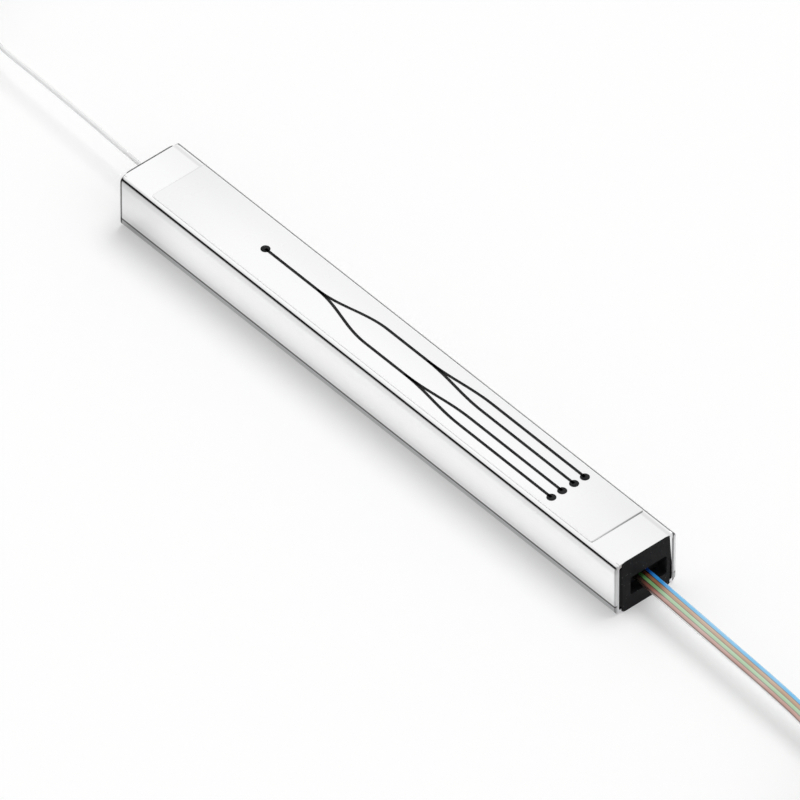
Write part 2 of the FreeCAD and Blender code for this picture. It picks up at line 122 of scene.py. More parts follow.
def spline_curve(name, points):
    """A curve object with one open NURBS spline that has the given control points."""
    data = bpy.data.curves.new(name, "CURVE")
    data.dimensions = "3D"
    data.resolution_u = CURVE_STEPS
    spline = data.splines.new("NURBS")
    spline.points.add(len(points) - 1)
    for place, point in zip(spline.points, points):
        place.co = (*point, 1.0)
    spline.order_u = NURBS_ORDER
    spline.use_endpoint_u = True
    return add_object(name, data)


def mesh_from(curve):
    """The mesh that Blender itself works out from a curve."""
    bpy.context.view_layer.update()
    ready = curve.evaluated_get(bpy.context.evaluated_depsgraph_get())
    return bpy.data.meshes.new_from_object(ready)


def points_along(curve):
    """The points along a curve that has no bevel."""
    mesh = mesh_from(curve)
    points = [vertex.co.copy() for vertex in mesh.vertices]
    bpy.data.meshes.remove(mesh)
    return points


def line_length(points):
    """Length of a line through the points, in metres."""
    return sum((after - before).length for before, after in zip(points, points[1:]))


print("splines of order", NURBS_ORDER)

# %% [markdown]
# ## Winding neat turns
# A new module is sold with more than a metre of fibre on each end, wound in a tight bundle.  The
# ribbon's turns run side by side: each moves over by one pitch at the same place, and climbs one layer
# when a layer is full.  A physics run could settle loose loops, but a neat winding is a rule, so a loop
# writes its control points.  A spline of order 3 touches the middle of each run between two points, so
# the points stand a little outside the true radius, by one over the cosine of half a step.

# %% Winding helpers
ROUND_STEPS = 16
CLIMB_START = 0.68
MOVE_START = 0.84


def ease(value):
    """0 below 0, 1 above 1, and a smooth S between."""
    value = min(max(value, 0.0), 1.0)
    return value * value * (3 - 2 * value)


def arc_stations(centre_x, first, count):
    """Places round an arc: its centre, the angle, and how far outside the radius a point stands."""
    step = 2 * math.pi / ROUND_STEPS
    stretch = 1 / math.cos(step / 2)
    return [(centre_x, math.radians(first) + step * number, stretch) for number in range(count)]


def wind(stations, radii, heights):
    """Control points of every turn: inward on one layer, up, outward on the next."""
    places = []
    for layer, height in enumerate(heights):
        ordered = radii if layer % 2 == 0 else radii[::-1]
        places += [(radius, height) for radius in ordered]
    points = []
    for turn, (radius, height) in enumerate(places):
        next_radius, next_height = places[min(turn + 1, len(places) - 1)]
        for number, (centre_x, angle, stretch) in enumerate(stations):
            share = number / len(stations)
            climb = ease((share - CLIMB_START) / (MOVE_START - CLIMB_START))
            move = ease((share - MOVE_START) / (1 - MOVE_START))
            reach = (radius + (next_radius - radius) * move) * stretch
            level = height + (next_height - height) * climb
            points.append(mm(centre_x + reach * math.cos(angle), reach * math.sin(angle), level))
    return points


print("control points round a turn of the ribbon:", ROUND_STEPS)

# %% [markdown]
# ## The input fibre
# One glass fibre in a clear coat, only a quarter of a millimetre thick, leaves the far end of the tube.
# It comes straight out of the plug, sinks to the table under its own weight, and its spare length lies
# in a round coil beside it.  The coil is wound like thread on a spool: the fibre drifts from the outside
# of the ring to the inside in half a turn, rises one layer, and drifts out again.  Each trip starts a
# little further round than the last, so the strands lie side by side and none stays on one side for
# long.  A thin round cord is simplest as a curve with a round bevel.

# %% Route and coil of the input fibre
COAT_DIAMETER = 0.25
EXIT_X = 19.09
LEAD_STRAIGHT = 2.6
INPUT_EXIT_SHIFT = 0.66
AXIS_HEIGHT = 1.60
COIL_CENTRE = -42.9
COIL_JOIN_ANGLE = 63.75
COIL_OUTER = 6.07
COIL_INNER = 5.03
COIL_STEPS = 18
COIL_SWEEP = 9
COIL_TRIPS = 9
COIL_DOUBLE_LAYERS = 4
COIL_LAYER_RISE = 0.26
TIE_THICKNESS = 0.10
FIBRE_ROUTE = [
    (-EXIT_X, INPUT_EXIT_SHIFT, AXIS_HEIGHT),
    (-EXIT_X - LEAD_STRAIGHT, INPUT_EXIT_SHIFT, AXIS_HEIGHT),
    (-26.4, 0.89, 1.60),
    (-31.0, 1.03, 1.58),
    (-34.2, 1.20, 1.34),
    (-36.4, 2.60, 0.76),
    (-38.3, 4.08, 0.32),
]


def coil_places():
    """Radius and height of each point of the coil: trips inward on one layer and out on the next."""
    drifts = [(COIL_OUTER - COIL_INNER) * step / COIL_SWEEP for step in range(COIL_SWEEP)]
    places = []
    for double in range(COIL_DOUBLE_LAYERS):
        low = TIE_THICKNESS + COAT_DIAMETER / 2 + 2 * double * COIL_LAYER_RISE
        high = low + COIL_LAYER_RISE
        inward = [(COIL_OUTER - drift, low) for drift in drifts] + [(COIL_INNER, low)]
        outward = [(COIL_INNER + drift, high) for drift in drifts] + [(COIL_OUTER, high)]
        places += (inward + outward) * COIL_TRIPS
    return places


def input_fibre_points():
    """Control points of the whole input fibre, from its exit to the end of its coil."""
    step = 2 * math.pi / COIL_STEPS
    stretch = 1 / math.cos(step / 2)
    points = [mm(*point) for point in FIBRE_ROUTE]
    for number, (radius, height) in enumerate(coil_places()):
        angle = math.radians(COIL_JOIN_ANGLE) + number * step
        reach = radius * stretch
        points.append(mm(COIL_CENTRE + reach * math.cos(angle), reach * math.sin(angle), height))
    return points


fibre_points = input_fibre_points()
print("control points of the input fibre:", len(fibre_points))

# %% Input fibre
BEVEL_STEPS = 3


def add_input_fibre(points):
    """A round fibre along the points: a bevelled curve, turned into a mesh."""
    guide = spline_curve("input_fibre_guide", points)
    path = points_along(guide)
    guide.data.bevel_depth = COAT_DIAMETER / 2 * MM
    guide.data.bevel_resolution = BEVEL_STEPS
    guide.data.use_fill_caps = True
    mesh = mesh_from(guide)
    mesh.name = "input_fibre"
    mesh.shade_smooth()
    bpy.data.objects.remove(guide)
    return add_object("input_fibre", mesh), path


input_fibre, fibre_path = add_input_fibre(fibre_points)
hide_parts("fibre_lead", "fibre_coil")
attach(input_fibre, "root")
print("input fibre %.3f m, %d faces" % (line_length(fibre_path), len(input_fibre.data.polygons)))

# %% [markdown]
# ## The output ribbon
# Four coated fibres lie side by side in a clear skin, so the ribbon is 1.05 mm wide and 0.3 mm thick.
# It bends easily over its flat side and hardly at all over its edge.  That is why it leaves flat, turns a
# quarter round on its way, and is wound standing on edge.  A bevelled curve can't do that twist cleanly,
# so its skin is built by hand: at each point along the line a small ring of vertices is turned to face
# the right way, and neighbouring rings are joined.  Each vertex also stores how far across the ribbon
# it lies, counted in fibres, and the ribbon's material reads that number to colour the fibres.

# %% Ribbon section
RIBBON_WIDTH = 1.05
RIBBON_THICKNESS = 0.30
FIBRE_PITCH = 0.25
OUTPUT_FIBRES = 4
VALLEY_DEPTH = 0.045
VALLEY_SHARPNESS = 1.5
STEPS_PER_FIBRE = 4


def ribbon_half_thickness(across):
    """Half the ribbon's thickness at a distance from its middle: a ridge over each fibre."""
    outer_fibre = FIBRE_PITCH * (OUTPUT_FIBRES - 1) / 2
    ridge = RIBBON_THICKNESS / 2
    if abs(across) > outer_fibre:
        share = (abs(across) - outer_fibre) / (RIBBON_WIDTH / 2 - outer_fibre)
        return ridge * math.sqrt(max(1 - share * share, 0.0))
    valley = abs(math.cos(math.pi * across / FIBRE_PITCH)) ** VALLEY_SHARPNESS
    return ridge - VALLEY_DEPTH * valley


def ribbon_section():
    """The ring of (across, thick) points, once round the ribbon."""
    half_fibres = OUTPUT_FIBRES * FIBRE_PITCH / 2
    steps = OUTPUT_FIBRES * STEPS_PER_FIBRE
    acrosses = [-half_fibres + number * FIBRE_PITCH / STEPS_PER_FIBRE for number in range(steps + 1)]
    upper = [(across, ribbon_half_thickness(across)) for across in acrosses]
    lower = [(across, -thick) for across, thick in reversed(upper)]
    return [(-RIBBON_WIDTH / 2, 0.0)] + upper + [(RIBBON_WIDTH / 2, 0.0)] + lower


section = ribbon_section()
print("ribbon section has", len(section), "points")

# %% Ribbon route and its hank
HANK_NEAR_END = 44.2
HANK_FAR_END = 64.2
HANK_RUN_POINTS = (49.2, 54.2, 59.2)
HANK_RADII = [6.2, 5.8, 5.4, 5.0, 4.6]
HANK_LAYER_PITCH = 1.12
HANK_LAYERS = 4
HANK_CLEARANCE = 0.01
JOIN_ANGLE = 236.25
JOIN_STATIONS = 2
FAR_BEND_ANGLE = -78.75
NEAR_BEND_ANGLE = 101.25
RIBBON_ROUTE = [
    (EXIT_X, 0.0, AXIS_HEIGHT),
    (EXIT_X + LEAD_STRAIGHT, -0.11, AXIS_HEIGHT),
    (26.6, -0.34, 1.60),
    (31.2, -0.53, 1.58),
    (34.6, -0.72, 1.42),
    (37.0, -1.66, 0.98),
    (38.9, -3.46, 0.70),
]


def hank_stations():
    """Places round one long turn, from where the lead joins it."""
    half_turn = ROUND_STEPS // 2
    near_run = [(x, -math.pi / 2, 1.0) for x in HANK_RUN_POINTS]
    far_run = [(x, math.pi / 2, 1.0) for x in reversed(HANK_RUN_POINTS)]
    return (arc_stations(HANK_NEAR_END, JOIN_ANGLE, JOIN_STATIONS) + near_run
            + arc_stations(HANK_FAR_END, FAR_BEND_ANGLE, half_turn) + far_run
            + arc_stations(HANK_NEAR_END, NEAR_BEND_ANGLE, half_turn - JOIN_STATIONS))


def ribbon_points():
    """Points along the whole ribbon, from its exit to the last turn of its hank."""
    first = TIE_THICKNESS + RIBBON_WIDTH / 2 + HANK_CLEARANCE
    heights = [first + layer * HANK_LAYER_PITCH for layer in range(HANK_LAYERS)]
    route = [mm(*point) for point in RIBBON_ROUTE] + wind(hank_stations(), HANK_RADII, heights)
    guide = spline_curve("ribbon_guide", route)
    points = points_along(guide)
    bpy.data.objects.remove(guide)
    return points


ribbon_path = ribbon_points()
print("ribbon %.3f m in %d steps" % (line_length(ribbon_path), len(ribbon_path)))

# %% Ribbon skin
TWIST_START = 15.8 * MM
TWIST_END = 24.0 * MM


def ribbon_rings(path):
    """Vertices of every ring along the path, with the ribbon turned from flat to standing on edge."""
    rings = []
    travelled = 0.0
    for number, point in enumerate(path):
        before = path[max(number - 1, 0)]
        after = path[min(number + 1, len(path) - 1)]
        travelled += (point - before).length
        tangent = (after - before).normalized()
        sideways = Vector((0, 0, 1)).cross(tangent).normalized()
        outward = tangent.cross(sideways)
        twist = math.pi / 2 * ease((travelled - TWIST_START) / (TWIST_END - TWIST_START))
        wide = sideways * math.cos(twist) + outward * math.sin(twist)
        thin = outward * math.cos(twist) - sideways * math.sin(twist)
        rings.append([point + wide * across * MM + thin * thick * MM for across, thick in section])
    return rings


def skin(rings):
    """Faces between neighbouring rings, and a face over each end."""
    size = len(rings[0])
    faces = []
    for ring in range(len(rings) - 1):
        start = ring * size
        for corner in range(size):
            other = (corner + 1) % size
            faces.append((start + corner, start + corner + size, start + other + size, start + other))
    last = (len(rings) - 1) * size
    faces.append(tuple(range(size)))
    faces.append(tuple(reversed(range(last, last + size))))
    return faces


def add_ribbon(path):
    """The ribbon as one closed mesh that stores how far across it each vertex lies."""
    rings = ribbon_rings(path)
    ribbon = add_mesh("output_ribbon", [point for ring in rings for point in ring], skin(rings))
    ribbon.data.shade_smooth()
    store = ribbon.data.attributes.new("across", "FLOAT", "POINT")
    store.data.foreach_set("value", [across / FIBRE_PITCH for across, _ in section] * len(rings))
    return ribbon


output_ribbon = add_ribbon(ribbon_path)
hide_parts("ribbon_lead", "ribbon_hank")
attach(output_ribbon, "root")
print("ribbon faces:", len(output_ribbon.data.polygons))

# %% [markdown]
# ## The printed diagram
# The label of such a module says what is inside.  Here a plain diagram does that: one line that splits in
# two and then in four, as the light paths in the chip do.  A picture could be laid on the label, but real
# ink stands a few thousandths of a millimetre proud, so each stroke is a thin closed strip of its own.
# The bends are half a cosine wave, the same curve that a light path follows.

# %% Strokes of the diagram
STROKE_WIDTH = 0.17
BEND_STEPS = 24
END_STEPS = 10
DOT_RADIUS = 0.27
PORT_START = -10.6
FIRST_SPLIT = (-6.4, -1.6)
SECOND_SPLIT = (1.6, 6.4)
PORT_END = 13.8
FIRST_SPREAD = 0.80
SECOND_SPREAD = 0.38


def bend(x_start, x_end, y_start, y_end):
    """Points of a gentle S from one height on the label to another."""
    shares = [number / BEND_STEPS for number in range(BEND_STEPS + 1)]
    return [(x_start + (x_end - x_start) * share,
             y_start + (y_end - y_start) * (1 - math.cos(math.pi * share)) / 2) for share in shares]


def stroke_outline(points):
    """The closed outline of a stroke of even width, with round ends."""
    half = STROKE_WIDTH / 2
    left, right = [], []
    for number, (x, y) in enumerate(points):
        x_before, y_before = points[max(number - 1, 0)]
        x_after, y_after = points[min(number + 1, len(points) - 1)]
        heading = math.atan2(y_after - y_before, x_after - x_before)
        left.append((x - half * math.sin(heading), y + half * math.cos(heading)))
        right.append((x + half * math.sin(heading), y - half * math.cos(heading)))
    return left, right


def disc_outline(x, y, radius):
    """A round dot as the same two sides that a stroke has."""
    angles = [math.pi * number / END_STEPS for number in range(END_STEPS + 1)]
    return [[(x - radius * math.cos(a), y + side * radius * math.sin(a)) for a in angles]
            for side in (1, -1)]


def diagram_strokes():
    """Every stroke of the one-to-four diagram, as its two sides."""
    strokes = [stroke_outline([(PORT_START, 0.0), (FIRST_SPLIT[0], 0.0)])]
    dots = [(PORT_START, 0.0)]
    for upper in (-1, 1):
        branch = upper * FIRST_SPREAD
        path = bend(*FIRST_SPLIT, 0.0, branch) + [(SECOND_SPLIT[0], branch)]
        strokes.append(stroke_outline(path))
        for outer in (-1, 1):
            port = branch + outer * SECOND_SPREAD
            path = bend(*SECOND_SPLIT, branch, port) + [(PORT_END, port)]
            strokes.append(stroke_outline(path))
            dots.append((PORT_END, port))
    return strokes + [disc_outline(x, y, DOT_RADIUS) for x, y in dots]


strokes = diagram_strokes()
print("strokes and dots:", len(strokes))

# %% Ink of the diagram
INK_HEIGHT = 0.012


def add_diagram(strokes):
    """All the ink as one object, lying on the label: each stroke is a row of rings with four corners."""
    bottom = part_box("label")[1].z / MM
    top = bottom + INK_HEIGHT
    corners, faces = [], []
    for left, right in strokes:
        rings = [[mm(*a, bottom), mm(*b, bottom), mm(*b, top), mm(*a, top)] for a, b in zip(left, right)]
        faces += [tuple(len(corners) + corner for corner in face) for face in skin(rings)]
        corners += [corner for ring in rings for corner in ring]
    return add_mesh("label_diagram", corners, faces)


label_diagram = add_diagram(strokes)
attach(label_diagram, "root")
print("diagram faces:", len(label_diagram.data.polygons))

# %% [markdown]
# ## Tools for the finishes
# Several finishes share the same small effects: soft cloudiness, fine streaks and specks of dust.  Each
# could be rebuilt in every material, but a node group is made once and placed with other values each
# time.  A group gives out only masks and values, and the shader itself stays in the material.

# %% Values in a node tree
def new_group(name, inputs, output):
    """An empty shader group, its named float inputs, and the socket of its one output."""
    group = bpy.data.node_groups.new(name, "ShaderNodeTree")
    for socket, default in inputs.items():
        item = group.interface.new_socket(socket, in_out="INPUT", socket_type="NodeSocketFloat")
        item.default_value = default
    group.interface.new_socket(output, in_out="OUTPUT", socket_type="NodeSocketFloat")
    given = group.nodes.new("NodeGroupInput").outputs
    return group, given, group.nodes.new("NodeGroupOutput").inputs[0]


def feed(tree, socket, value):
    """Gives a socket a number, a colour, or the value of another node's socket."""
    if isinstance(value, (int, float)):
        socket.default_value = value
    elif isinstance(value, tuple):
        socket.default_value = (*value, 1.0)
    else:
        tree.links.new(value, socket)


def calc(tree, operation, *values):
    """A Math node: each value is a number or another node's socket."""
    node = tree.nodes.new("ShaderNodeMath")
    node.operation = operation
    for socket, value in zip(node.inputs, values):
        feed(tree, socket, value)
    return node.outputs[0]


def ramp(tree, value, start, end, low=0.0, high=1.0):
    """A smooth step: low below start, high above end.  Any number may be a socket."""
    node = tree.nodes.new("ShaderNodeMapRange")
    node.interpolation_type = "SMOOTHSTEP"
    for socket, given in zip(node.inputs, (value, start, end, low, high)):
        feed(tree, socket, given)
    return node.outputs[0]


def fall(tree, value, start, end):
    """The same step downwards: 1 below start, 0 above end."""
    return ramp(tree, value, start, end, 1.0, 0.0)


def times(tree, first, second):
    """Two values multiplied, which for two masks leaves what they share."""
    return calc(tree, "MULTIPLY", first, second)


print("helpers for groups and values")

# %% Places and noise in a node tree
def object_place(tree, kind="Object"):
    """Coordinates and their three parts.  The object's own are metres in its own frame."""
    place = tree.nodes.new("ShaderNodeTexCoord").outputs[kind]
    split = tree.nodes.new("ShaderNodeSeparateXYZ")
    tree.links.new(place, split.inputs[0])
    return place, split.outputs


def soft_noise(tree, vector, scale, detail):
    """Blender's own soft noise, from 0 to 1."""
    node = tree.nodes.new("ShaderNodeTexNoise")
    for name, value in (("Vector", vector), ("Scale", scale), ("Detail", detail)):
        feed(tree, node.inputs[name], value)
    return node.outputs["Fac"]


print("helpers for places and noise")

# %% Group: soft cloudiness
PATCH_CONTRAST = (0.3, 0.7)


def build_cloudiness():
    """Slow soft change from one value to another over patches of a given size in millimetres."""
    group, given, result = new_group("Soft cloudiness", {"Patch size": 1.0, "Low": 0.0, "High": 1.0},
                                     "Value")
    scale = calc(group, "DIVIDE", 1 / MM, given["Patch size"])
    noise = soft_noise(group, object_place(group)[0], scale, 3.0)
    value = ramp(group, noise, *PATCH_CONTRAST, given["Low"], given["High"])
    group.links.new(value, result)
    return group


cloudiness = build_cloudiness()
print("group:", cloudiness.name)

# %% Group: long fine streaks
def build_streaks():
    """Streaks along the tube, as a die or a brush leaves them: long one way, fine the other."""
    group, given, result = new_group("Long fine streaks", {"Streak length": 12.0, "Streak width": 0.05},
                                     "Value")
    length = times(group, given["Streak length"], MM)
    width = times(group, given["Streak width"], MM)
    joined = group.nodes.new("ShaderNodeCombineXYZ")
    for socket, part, size in zip(joined.inputs, object_place(group)[1], (length, width, width)):
        group.links.new(calc(group, "DIVIDE", part, size), socket)
    noise = soft_noise(group, joined.outputs[0], 1.0, 2.0)
    group.links.new(ramp(group, noise, *PATCH_CONTRAST), result)
    return group


streaks = build_streaks()
print("group:", streaks.name)

# %% Group: specks of dust
SPECK_CORE = 0.4


def build_specks():
    """Small round specks, scattered at a given spacing, as a mask."""
    group, given, result = new_group("Specks of dust", {"Spacing": 0.5, "Speck size": 0.12, "Share": 0.5},
                                     "Mask")
    cells = group.nodes.new("ShaderNodeTexVoronoi")
    group.links.new(object_place(group)[0], cells.inputs["Vector"])
    group.links.new(calc(group, "DIVIDE", 1 / MM, given["Spacing"]), cells.inputs["Scale"])
    edge = times(group, given["Speck size"], SPECK_CORE)
    dot = fall(group, cells.outputs["Distance"], edge, given["Speck size"])
    pick = group.nodes.new("ShaderNodeSeparateColor")
    group.links.new(cells.outputs["Color"], pick.inputs[0])
    chosen = calc(group, "LESS_THAN", pick.outputs[0], given["Share"])
    group.links.new(times(group, dot, chosen), result)
    return group


specks = build_specks()
print("group:", specks.name)

# %% Group: fine line
def build_fine_line():
    """A soft line where a value in millimetres comes near a given place, as a mask."""
    group, given, result = new_group("Fine line", {"Value": 0.0, "Place": 0.0, "Width": 0.1,
                                                   "Softness": 0.03}, "Mask")
    away = calc(group, "ABSOLUTE", calc(group, "SUBTRACT", given["Value"], given["Place"]))
    half = times(group, given["Width"], 0.5)
    edge = calc(group, "ADD", half, given["Softness"])
    group.links.new(fall(group, away, half, edge), result)
    return group


fine_line = build_fine_line()
print("group:", fine_line.name)

# %% Helpers for materials and colours
BLACK = (0.0, 0.0, 0.0)
WHITE = (1.0, 1.0, 1.0)


def new_material(name, colour, roughness, metallic=0.0, specular=0.5, **sockets):
    """A material with its Principled shader set by plain values."""
    material = bpy.data.materials.new(name)
    material.use_nodes = True
    shader = material.node_tree.nodes["Principled BSDF"]
    given = {"Base_Color": colour, "Roughness": roughness, "Metallic": metallic,
             "Specular_IOR_Level": specular, **sockets}
    for socket, value in given.items():
        feed(material.node_tree, shader.inputs[socket.replace("_", " ")], value)
    material.diffuse_color = (*colour, 1.0)
    return material, material.node_tree, shader


def place_group(tree, group, **values):
    """Puts a shared group into a material with its own values, and gives its first output."""
    node = tree.nodes.new("ShaderNodeGroup")
    node.node_tree = group
    for name, value in values.items():
        feed(tree, node.inputs[name.replace("_", " ")], value)
    return node.outputs[0]


def line_at(tree, value, place, width, softness):
    """A fine line where a value comes near a place, all in millimetres."""
    return place_group(tree, fine_line, Value=value, Place=place, Width=width, Softness=softness)


def blend_colours(tree, mask, first, second, kind="MIX"):
    """A colour that changes from the first to the second where the mask is 1."""
    node = tree.nodes.new("ShaderNodeMix")
    node.data_type = "RGBA"
    node.blend_type = kind
    tree.links.new(mask, node.inputs[0])
    for socket, colour in zip(node.inputs[6:8], (first, second)):
        feed(tree, socket, colour)
    return node.outputs[2]


print("black", BLACK, "and white", WHITE)

# %% Helpers for marks, relief and slots
def in_millimetres(tree):
    """Object coordinates in millimetres, as three sockets."""
    return [calc(tree, "DIVIDE", part, MM) for part in object_place(tree)[1]]


def darken(tree, marks):
    """A brightness of 1 from which each mark takes its share where its mask is 1."""
    shade = calc(tree, "ADD", 1.0, 0.0)
    for mask, share in marks:
        left = calc(tree, "SUBTRACT", 1.0, times(tree, mask, share))
        shade = times(tree, shade, left)
    return shade


def add_bump(tree, shader, height, depth):
    """Turns a height from 0 to 1 into relief of a depth in millimetres."""
    node = tree.nodes.new("ShaderNodeBump")
    node.inputs["Strength"].default_value = 1.0
    node.inputs["Distance"].default_value = depth * MM
    tree.links.new(height, node.inputs["Height"])
    tree.links.new(node.outputs["Normal"], shader.inputs["Normal"])


def dress(material, *names):
    """Puts a material on CAD nodes through their own slots."""
    for name in names:
        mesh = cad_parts[name].data
        mesh.materials.clear()
        mesh.materials.append(material)


print("helpers for marks, relief and slots")

# %% [markdown]
# ## Polished steel
# The tube is thin stainless steel, drawn through a die and polished until it mirrors the room.  Its look
# comes mostly from what it reflects, so the material is a bright metal with faint streaks along the
# tube.  Painted shade and painted reflections are added in its colour: soft painted shades, a painted
# dark reflection line along each bend, painted shade at the back end and painted dark lines near the
# ends.  The sawn ends are duller, and a painted highlight glows along one inside edge of the output mouth,
# standing in for a glint.  Each mark has two places between which it comes on, or a line's place, width
# and soft edge, in millimetres.

# %% Marks on the side walls
SIDE_WALL = (1.9, 2.1)
UPPER_SHADE = (1.8, 3.1)
SHOULDER_SHADE = (2.85, 3.25)
LOWER_SHADE = (0.8, 1.3)
BEND_LINE = (0.635, 0.10, 0.04)
BEND_FOOT = (0.50, 0.58)
BACK_SHADE = (-21.0, -14.0)
BACK_LINE = (-19.90, 0.10, 0.04)
FRONT_LINE = (19.89, 19.92)
FRONT_FACE = (19.994, 19.998)


def side_marks(tree, x, y, z):
    """Painted shade and painted dark lines on the two side walls, each with the share of light that it
    takes.
    """
    side = ramp(tree, calc(tree, "ABSOLUTE", y), *SIDE_WALL)
    front_line = times(tree, ramp(tree, x, *FRONT_LINE), fall(tree, x, *FRONT_FACE))
    # Painted shade: darker towards the top and foot, a dark bend line with shade below it, dark end lines.
    marks = [(ramp(tree, z, *UPPER_SHADE), 0.11),
             (ramp(tree, z, *SHOULDER_SHADE), 0.20),
             (fall(tree, z, *LOWER_SHADE), 0.12),
             (line_at(tree, z, *BEND_LINE), 0.88),
             (fall(tree, z, *BEND_FOOT), 0.44),
             (fall(tree, x, *BACK_SHADE), 0.27),
             (line_at(tree, x, *BACK_LINE), 0.85),
             (front_line, 0.35)]
    return [(times(tree, side, mask), share) for mask, share in marks]


print("lower bend line at a height of", BEND_LINE[0], "mm")

# %% Marks on the top wall
TOP_WALL = (3.5, 3.55)
FAR_EDGE_SHADE = (1.66, 0.06, 0.14)
ACROSS_SHADE = (-1.0, 1.9)
FRONT_SHADE = (12.0, 18.0)
TOP_CORNERS = (1.70, 1.80)
BACK_RIM = (-19.96, 0.06, 0.02)
ABOVE_BEND = (3.30, 3.36)
NEAR_BEND = (-2.075, 0.05, 0.03)
FAR_BEND = (2.04, 0.20, 0.03)


def top_marks(tree, x, y, z):
    """Painted shade and dark lines on the top wall and both its bends, each with its share of light."""
    top = ramp(tree, z, *TOP_WALL)
    rim = times(tree, ramp(tree, calc(tree, "ABSOLUTE", y), *TOP_CORNERS), line_at(tree, x, *BACK_RIM))
    above = ramp(tree, z, *ABOVE_BEND)
    # Painted shade near the far edge, to the far side and the front; painted dark lines at the back rim and
    # bends.
    marks = [(top, line_at(tree, y, *FAR_EDGE_SHADE), 0.14),
             (top, ramp(tree, y, *ACROSS_SHADE), 0.05),
             (top, ramp(tree, x, *FRONT_SHADE), 0.04),
             (top, rim, 0.60),
             (above, line_at(tree, y, *NEAR_BEND), 0.35),
             (above, line_at(tree, y, *FAR_BEND), 0.60)]
    return [(times(tree, wall, mask), share) for wall, mask, share in marks]


print("upper bend lines at", NEAR_BEND[0], "and", FAR_BEND[0], "mm from the middle")

# %% Sawn ends and the painted glint
SAWN_DEPTHS = (0.05, 0.03)
EDGE_DEPTHS = (0.004, 0.001)
LIP_DEPTHS = (0.3, 0.2)
TOP_EDGE = (3.50, 3.54)
INNER_WALL = (1.87, 0.04, 0.01)
GLINT_TOP = 3.3
GLINT_SLOPE = 0.085
GLINT_BACK = (19.80, 19.81)
GLINT_FRONT = (19.955, 19.965)


def behind_face(depths):
    """Depths behind the tube's two faces, as distances from its middle."""
    half_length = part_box("steel_tube")[1].x / MM
    return [half_length - depth for depth in depths]


def sawn_end(tree, x, y, z):
    """1 on the cut ends and their inner lip, but not on the top edge, which is burnished bright."""
    from_middle = calc(tree, "ABSOLUTE", x)
    cut = ramp(tree, from_middle, *behind_face(SAWN_DEPTHS))
    before_face = fall(tree, from_middle, *behind_face(EDGE_DEPTHS))
    top_edge = times(tree, ramp(tree, z, *TOP_EDGE), before_face)
    inner = line_at(tree, calc(tree, "ABSOLUTE", y), *INNER_WALL)
    lip = times(tree, inner, ramp(tree, from_middle, *behind_face(LIP_DEPTHS)))
    return calc(tree, "MAXIMUM", lip, times(tree, cut, calc(tree, "SUBTRACT", 1.0, top_edge)))


def painted_glint(tree, x, y, z):
    """1 on the painted glint inside the output mouth, narrower lower down."""
    lower = times(tree, calc(tree, "SUBTRACT", GLINT_TOP, z), GLINT_SLOPE)
    behind = calc(tree, "SUBTRACT", x, lower)
    strip = times(tree, ramp(tree, behind, *GLINT_BACK), fall(tree, x, *GLINT_FRONT))
    return times(tree, line_at(tree, y, *INNER_WALL), strip)


print("sawn steel from %.2f mm outward" % behind_face(SAWN_DEPTHS)[0])

# %% Steel
STEEL_COLOUR = (0.95, 0.95, 0.955)
SAWN_COLOUR = (0.67, 0.67, 0.68)
GAP_SHADE_LINE = (1.93, 0.06, 0.02)
GAP_SHADE_FRONT = (19.96, 19.98)
GLINT_COLOUR = (0.95, 0.95, 0.95)
GAP_SHADE_SHARE = 0.80
POLISH = (0.045, 0.10)
SAWN_ROUGHNESS = 0.38
STREAK_RELIEF = 0.0002


def make_steel():
    """Bright drawn steel with faint streaks, painted shade and dark lines, sawn ends and a painted glint."""
    material, tree, shader = new_material("polished_steel", STEEL_COLOUR, 0.07, metallic=1.0)
    place = in_millimetres(tree)
    sawn = sawn_end(tree, *place)
    # A painted dark line of shade on the far wall's sawn end, next to its inner edge.
    gap_shade_line = times(tree, ramp(tree, place[0], *GAP_SHADE_FRONT), line_at(tree, place[1], *GAP_SHADE_LINE))
    marks = side_marks(tree, *place) + top_marks(tree, *place) + [(gap_shade_line, GAP_SHADE_SHARE)]
    metal = blend_colours(tree, sawn, STEEL_COLOUR, SAWN_COLOUR)
    tree.links.new(blend_colours(tree, darken(tree, marks), BLACK, metal), shader.inputs["Base Color"])
    fine = place_group(tree, streaks, Streak_length=9.0, Streak_width=0.06)
    polish = ramp(tree, fine, 0.0, 1.0, *POLISH)
    tree.links.new(ramp(tree, sawn, 0.0, 1.0, polish, SAWN_ROUGHNESS), shader.inputs["Roughness"])
    # A painted highlight: a white glow on a narrow strip of the inner wall stands in for a glint.
    glint = painted_glint(tree, *place)
    tree.links.new(blend_colours(tree, glint, BLACK, GLINT_COLOUR), shader.inputs["Emission Color"])
    shader.inputs["Emission Strength"].default_value = 1.0
    add_bump(tree, shader, fine, STREAK_RELIEF)
    return material


polished_steel = make_steel()
dress(polished_steel, "steel_tube")
print("steel on the tube")

# %% [markdown]
# ## Label film
# A thin silvery-white film is stuck along the top.  It is smooth but not a mirror, so it is a plain
# glossy plastic with a little cloudiness in its gloss.  Its two cut ends get fine grey lines of painted
# shade that fade towards the near side, painted shade darkens it a little towards the far side and the
# ends, and a few specks of dust lie on it.

# %% Label film
FILM_COLOUR = (0.97, 0.97, 0.975)
FRONT_EDGE = (0.05, 0.03)
BACK_EDGE = (0.08, 0.04)
EDGE_FADE = (-2.0, 1.5, 0.3, 1.0)
END_SHADE = (11.0, 18.0)


